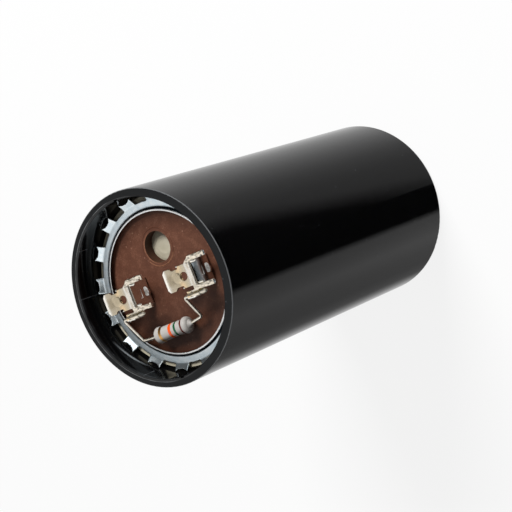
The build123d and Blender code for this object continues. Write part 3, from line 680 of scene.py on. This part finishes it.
# %% Vent plug
plug_section = [
    (0.05, 0.2), (1.2, 0.2), (2.25, 0.17), (2.4, 0.21), (2.55, 0.16), (3.4, 0.12), (4.05, 0.04), (4.1, 0.0),
    (2.95, 0.0), (2.95, -1.0)]
plug_seat = Vector((0, vent_offset, 96.5))
turned_piece(
    "vent_plug", nylon, plug_section, plug_seat, Vector((0, 0, 1)), "vent_diaphragm")
print("vent plug width in mm:", 2 * max(reach for reach, forward in plug_section))

# %% [markdown]
# **Lacquer collars and thick tin.** The lacquer creeps a little way out along each wire as the
# resistor is dipped, and the wire itself wears a few hundredths of dip tin over its copper.

# %% Collars and the wire's tin
lead_turn = math.radians(resistor_turn_degrees)
lead_axis = Vector((math.cos(lead_turn), math.sin(lead_turn), 0))
collar_section = [(1.5, -0.5), (1.25, 0.0), (0.85, 0.22), (0.6, 0.6), (0.47, 1.0), (0.3, 1.02)]
for side, way in (("left", -1), ("right", 1)):
    start = Vector(resistor_middle) + lead_axis * way * coat_length / 2
    turned_piece(f"lacquer_collar_{side}", lacquer, collar_section, start, lead_axis * way)
    thick_tin = nodes[f"resistor_lead_{side}"].modifiers.new("thick_tin", "DISPLACE")
    thick_tin.strength = 0.07 * MM
    thick_tin.mid_level = 0.0
print("collar reach along the lead in mm:", collar_section[-1][1])

# %% [markdown]
# **The folded tabs.** Each tab was cropped from strip, and its side arms were nipped and tinned by
# dipping, so their skin is lumpy and most ragged at their far ends. A round dimple was pressed up
# in the blade, to lock the connector, and the web bows out a little towards its foot.

# %% Worked tabs
tab_places = {"left": -tab_reach, "right": tab_reach}
foot_bow = 0.25
lumps_per_mm, lump_height = 0.9, 0.2
spikes_per_mm, spike_height = 1.7, 0.2
dimple_place, dimple_radius, dimple_height = 5.15, 1.4, 0.22


def share_between(value, low, high):
    """0 up to low, 1 from high on, and an even slope between."""
    return min(max((value - low) / (high - low), 0), 1)


for side in tab_places:
    tab = skin_over(f"terminal_{side}", 0.09, 2, tinned)
    pushes = []
    for vertex in tab.data.vertices:
        point = vertex.co / MM
        across = point.y - tab_row_y
        ahead = point.x - tab_places[side]
        height = point.z - board_height
        on_an_arm = share_between(abs(across), 3.2, 3.5) * (-4.5 < across) * (height > 4)
        lump = noise.noise(point * lumps_per_mm) * lump_height
        spike = noise.noise(point * spikes_per_mm) * spike_height * share_between(ahead, 1.6, 2.8)
        along = (blade_root[0] - ahead) / math.cos(blade_rise)
        from_dimple = math.hypot(along - dimple_place, across) / dimple_radius
        raised = dimple_height * max(1 - from_dimple ** 2, 0) * (height > 6) * (vertex.normal.z > 0.5)
        below_fold = (1 - height / blade_root[1]) * (0 < height < blade_root[1])
        bow = -foot_bow * below_fold * share_between(ahead, 1, 3)
        pushes.append(vertex.normal * (lump + spike) * on_an_arm + Vector((bow, 0, raised)))
    for vertex, push in zip(tab.data.vertices, pushes):
        vertex.co += push * MM
    print(tab.name, "triangles:", sum(len(face.vertices) - 2 for face in tab.data.polygons))

# %% [markdown]
# **The spring ring.** It is blanked from sheet and formed, so it gets the same eased skin, in
# larger squares, because its bends are wider.

# %% Worked ring
ring = skin_over("retaining_ring", 0.16, 3, zinc)
print("ring triangles:", sum(len(face.vertices) - 2 for face in ring.data.polygons))

# %% [markdown]
# **Flux and solder on the wire barrel.** Solder wicks along the open seam, and the flux boils out
# over it and dries as a glassy brown bead. Below it the solder stands proud as a long drop, small
# pips of it sit on the tab's corners, and dip tin pools in the corners behind the web. All are
# drawn as a run of rings along a short line, each ring a little off round, as a frozen liquid is.

# %% Frozen beads along the barrel
def frozen_bead(name, material, spine, unevenness, seed):
    """Closed lumpy bead through spine points, each (place in mm, half width, half height) in mm."""
    corners, lumps_per_mm = 14, 1.6
    turns = [2 * math.pi * step / corners for step in range(corners)]
    rings = []
    for index, (middle, half_width, half_height) in enumerate(spine):
        ahead = (spine[min(index + 1, len(spine) - 1)][0] - spine[max(index - 1, 0)][0]).normalized()
        sideways = ahead.cross(Vector((0, 0, 1))).normalized()
        upwards = sideways.cross(ahead)
        ring_places = []
        for turn in turns:
            reach = sideways * math.cos(turn) * half_width + upwards * math.sin(turn) * half_height
            wobble = 1 + unevenness * noise.noise((middle + reach) * lumps_per_mm + Vector((seed, 0, 0)))
            ring_places.append(middle + reach * wobble)
        rings.append(ring_places)
    return keep_piece(name, joined_rings(name, rings, smooth_ends=True), material)


def taper(count, start, end, across, up, half_width, half_height, drift=0.0):
    """Spine of a bead along the barrel: thin at both ends, full between, drifting to the blade."""
    spine = []
    for index in range(count + 1):
        share = index / count
        fullness = math.sin(math.pi * (0.04 + 0.92 * share)) ** 0.45
        middle = (start + (end - start) * share, across + drift * share ** 2, up)
        spine.append((middle, half_width * fullness, half_height * fullness))
    return spine


# %% Where each bead lies
def on_tab(side, along, across, up):
    """Place in mm from the distance along the blade, across it towards +Y, and above its face."""
    return Vector((
        tab_places[side] + blade_root[0] - along * math.cos(blade_rise) + up * math.sin(blade_rise),
        tab_row_y + across,
        board_height + blade_root[1] + along * math.sin(blade_rise) + up * math.cos(blade_rise)))


pips = [
    (f"solder_pip_{{}}_{along}_{across}", bare_solder,
     (6, along + size, along - size, across, up, size, size), 0.3, along)
    for along, across, up, size in (
        (4.2, 2.85, 0, 0.28), (4.2, -2.85, 0, 0.26), (1.0, 2.75, 0.05, 0.3), (-1.6, 2.9, -0.3, 0.24),
        (-0.2, 2.8, -0.5, 0.3))]
# Each row: name, finish, what taper takes, unevenness, seed.
beads = [
    ("flux_seam_{}", flux, (24, 4.5, -1.6, -4.98, 0.26, 0.15, 0.16, 0.45), 0.5, 3.0),
    ("solder_drop_{}", bare_solder, (16, 4.35, 1.2, -5.62, -0.1, 0.52, 0.5), 0.25, 7.0),
    ("solder_tail_{}", bare_solder, (12, 1.6, -1.5, -5.4, -0.3, 0.3, 0.34, 0.2), 0.5, 11.0),
    *pips,
    ("tin_pool_upper_{}", bare_solder, (12, -0.2, -2.2, 2.8, -0.1, 0.42, 0.28), 0.5, 0.42),
    ("tin_pool_lower_{}", bare_solder, (12, -0.5, -2.1, -2.8, -0.1, 0.38, 0.28), 0.5, 0.38)]
for side in tab_places:
    for name, finish, run, unevenness, seed in beads:
        spine = [(on_tab(side, *bead_place), wide, high) for bead_place, wide, high in taper(*run)]
        frozen_bead(name.format(side), finish, spine, unevenness, seed)
print("beads on each tab:", len(beads))

# %% [markdown]
# **Marks on the web.** A boss is punched out of the web near its foot, with a flat top that leans
# up to the light. Above it a straight line with a short foot is struck into the tin.

# %% Boss top and struck line on each web
def on_web(side, across, height, out):
    """Place in mm on the web's outer face, at a height above the board and a distance out of it."""
    return Vector((
        tab_places[side] + web_foot - foot_bow * (1 - height / blade_root[1]) - height * math.tan(web_lean)
        + out * math.cos(web_lean),
        tab_row_y + across,
        board_height + height + out * math.sin(web_lean)))


def flat_button(name, side, rim_places, middle_place, material):
    """Low closed cap, sunk a little, whose rim and middle are places (across, height, out)."""
    foot = [on_web(side, across, height, -0.05) for across, height, out in rim_places]
    rim = [on_web(side, *rim_place) for rim_place in rim_places]
    inner = [rim_point.lerp(on_web(side, *middle_place), 0.75) for rim_point in rim]
    mesh = joined_rings(name, (foot, rim, inner), smooth_sides=False)
    return keep_piece(name, mesh, material)


oval = []
oval_corners = 28
for step in range(oval_corners):
    turn = 2 * math.pi * step / oval_corners
    rise = math.sin(turn)
    oval.append((1.22 * math.cos(turn), 1.95 + 0.38 * rise, 0.38 - 0.3 * rise))
line = [(1.0, 3.35, 0.04), (1.0, 3.49, 0.04), (-1.4, 3.49, 0.04), (-1.4, 3.35, 0.04)]
foot = [(-1.28, 3.5, 0.04), (-1.28, 4.05, 0.04), (-1.4, 4.05, 0.04), (-1.4, 3.5, 0.04)]
web_marks = (
    ("boss_top", oval, (0.0, 1.95, 0.4)), ("struck_line", line, (-0.2, 3.42, 0.06)),
    ("struck_foot", foot, (-1.34, 3.8, 0.06)))
for side in tab_places:
    for name, rim_places, middle_place in web_marks:
        # Boss tops and struck lines are drawn in the near-white finish, a painted highlight.
        flat_button(f"{name}_{side}", side, rim_places, middle_place, struck_highlight)
print("marks on each web:", len(web_marks))

# %% [markdown]
# ## Studio
# The part stands on a plain pale floor. The camera sees the floor and the backdrop as white, and
# a share of ordinary diffuse keeps the soft shadow. The floor isn't seen in the gloss, because
# the world below the horizon stands for it there and can hold the studio's dark gap.

# %% Floor
floor_reach = 3
corners = [(floor_reach * x, floor_reach * y, 0) for x, y in ((-1, -1), (1, -1), (1, 1), (-1, 1))]
floor_mesh = bpy.data.meshes.new("floor")
floor_mesh.from_pydata(corners, [], [(0, 1, 2, 3)])
floor = bpy.data.objects.new("floor", floor_mesh)
bpy.context.scene.collection.objects.link(floor)
floor.visible_glossy = False
floor_finish = bpy.data.materials.new("pale_floor")
floor_finish.use_nodes = True
tree = floor_finish.node_tree
tree.nodes.clear()
path = add(tree, "ShaderNodeLightPath")
seen = add(tree, "ShaderNodeMath", {"operation": "MAXIMUM"}, {
    0: path.outputs["Is Camera Ray"], 1: path.outputs["Is Transmission Ray"]})
seen_share = add(tree, "ShaderNodeMath", {"operation": "MULTIPLY", 1: 0.86}, {0: seen})
pale = add(tree, "ShaderNodeBsdfDiffuse", {"Color": "#F2F2F2"})
white = add(tree, "ShaderNodeEmission", {"Color": (1, 1, 1, 1), "Strength": 1.0})
mixed = add(tree, "ShaderNodeMixShader", {}, {0: seen_share, 1: pale, 2: white})
add(tree, "ShaderNodeOutputMaterial", {}, {"Surface": mixed})
floor_mesh.materials.append(floor_finish)
print("floor reach in m:", floor_reach)

# %% [markdown]
# The world is a round studio. Its walls are pale, with one dark gap in front of the part, and the
# glossy case shows that gap as the black band down its side. The gap is a plain function of the
# compass direction, so it stays put when the camera moves.

# %% World
world = bpy.data.worlds.new("studio")
bpy.context.scene.world = world
world.use_nodes = True
tree = world.node_tree
tree.nodes.clear()
heading = add(tree, "ShaderNodeTexCoord")
axes = add(tree, "ShaderNodeSeparateXYZ", {}, {0: heading.outputs["Generated"]})
compass = add(tree, "ShaderNodeMath", {"operation": "ARCTAN2"}, {0: axes.outputs["Y"], 1: axes.outputs["X"]})
share = add(tree, "ShaderNodeMapRange", {1: -math.pi, 2: math.pi}, {0: compass})


def wall(*places):
    """Ramp stops from compass degrees and brightness."""
    return [((degrees + 180) / 360, grey(value)) for degrees, value in places]


low_wall = add(tree, "ShaderNodeValToRGB", {"stops": wall(
    (-180, 0.8), (-150, 0.57), (-130, 0.19), (-110, 0.2), (-90, 0.3), (-70, 0.47), (-48, 0.42), (-30, 0.4),
    (17, 0.24), (50, 0.27), (70, 0.34), (90, 0.47), (110, 0.6), (130, 0.67), (150, 0.74))}, {0: share})
middle_wall = add(tree, "ShaderNodeValToRGB", {"stops": wall(
    (-180, 1.1), (-150, 0.8), (-90, 0.6), (-20, 0.6), (40, 0.2), (80, 0.3), (100, 0.12), (142, 0.08),
    (158, 0.5), (168, 1.1))}, {0: share})
high_wall = add(tree, "ShaderNodeValToRGB", {"stops": wall(
    (-180, 0.6), (-157, 1.05), (-100, 1.0), (-56, 1.1), (-44, 0.7), (-36, 0.14), (-16, 0.08), (16, 0.2),
    (36, 0.3), (52, 0.6), (60, 1.8), (82, 1.8), (90, 0.5), (104, 0.16), (149, 0.12),
    (156, 0.78))}, {0: share})
to_middle = add(tree, "ShaderNodeMapRange", {1: -0.1, 2: 0.15}, {0: axes.outputs["Z"]})
to_high = add(tree, "ShaderNodeMapRange", {1: 0.4, 2: 0.65}, {0: axes.outputs["Z"]})
print("stops round the high wall:", len(high_wall.color_ramp.elements))

# %% The dark gap, whose right edge leans with height
lean = add(tree, "ShaderNodeMapRange", {1: -0.79, 2: -0.865, 3: 38, 4: 2, "clamp": True}, {
    0: axes.outputs["Z"]})
degrees = add(tree, "ShaderNodeMath", {"operation": "MULTIPLY", 1: 180 / math.pi}, {0: compass})
past_edge = add(tree, "ShaderNodeMath", {"operation": "SUBTRACT"}, {0: degrees, 1: lean})
right_edge = add(tree, "ShaderNodeMapRange", {1: -7, 2: 13}, {0: past_edge})
left_edge = add(tree, "ShaderNodeMapRange", {1: -42, 2: -34, 3: 1, 4: 0}, {0: degrees})
beside_gap = add(tree, "ShaderNodeMath", {"operation": "MAXIMUM"}, {0: right_edge, 1: left_edge})
low_lit = add(tree, "ShaderNodeMix", {"data_type": "RGBA", 6: grey(0.0)}, {0: beside_gap, 7: low_wall})
low_and_middle = add(tree, "ShaderNodeMix", {"data_type": "RGBA"}, {
    0: to_middle, 6: low_lit.outputs[2], 7: middle_wall})
gloss_view = add(tree, "ShaderNodeMix", {"data_type": "RGBA"}, {
    0: to_high, 6: low_and_middle.outputs[2], 7: high_wall})
print("world nodes so far:", len(tree.nodes))

# %% What each kind of ray sees
path = add(tree, "ShaderNodeLightPath")
soft_fill = add(tree, "ShaderNodeMix", {"data_type": "RGBA", 6: grey(0.2)}, {
    0: path.outputs["Is Glossy Ray"], 7: gloss_view.outputs[2]})
seen = add(tree, "ShaderNodeMath", {"operation": "MAXIMUM"}, {
    0: path.outputs["Is Camera Ray"], 1: path.outputs["Is Transmission Ray"]})
whole = add(tree, "ShaderNodeMix", {"data_type": "RGBA", 7: grey(1.0)}, {0: seen, 6: soft_fill.outputs[2]})
sky = add(tree, "ShaderNodeBackground", {"Strength": 1.0}, {"Color": whole.outputs[2]})
add(tree, "ShaderNodeOutputWorld", {}, {"Surface": sky})
print("world nodes:", len(tree.nodes))

# %% [markdown]
# One large soft lamp stands for the window or softbox over the photo's table. It is on the side
# of the vent, so the tabs and the resistor throw their shadows away from it across the board.

# %% Lamps
def softbox(name, place_mm, aim_mm, side_mm, watts):
    """Square area lamp at a place, aimed at a point."""
    lamp = bpy.data.lights.new(name, "AREA")
    lamp.shape = "SQUARE"
    lamp.size = side_mm * MM
    lamp.energy = watts
    holder = bpy.data.objects.new(name, lamp)
    bpy.context.scene.collection.objects.link(holder)
    holder.location = Vector(place_mm) * MM
    aim = Vector(aim_mm) * MM - holder.location
    holder.rotation_mode = "QUATERNION"
    holder.rotation_quaternion = aim.to_track_quat("-Z", "Y")
    return holder


key = softbox("key_lamp", (82, 600, 760), (0, 0, 95), 350, 9.9)
key.visible_glossy = False
print("lamp:", key.name)
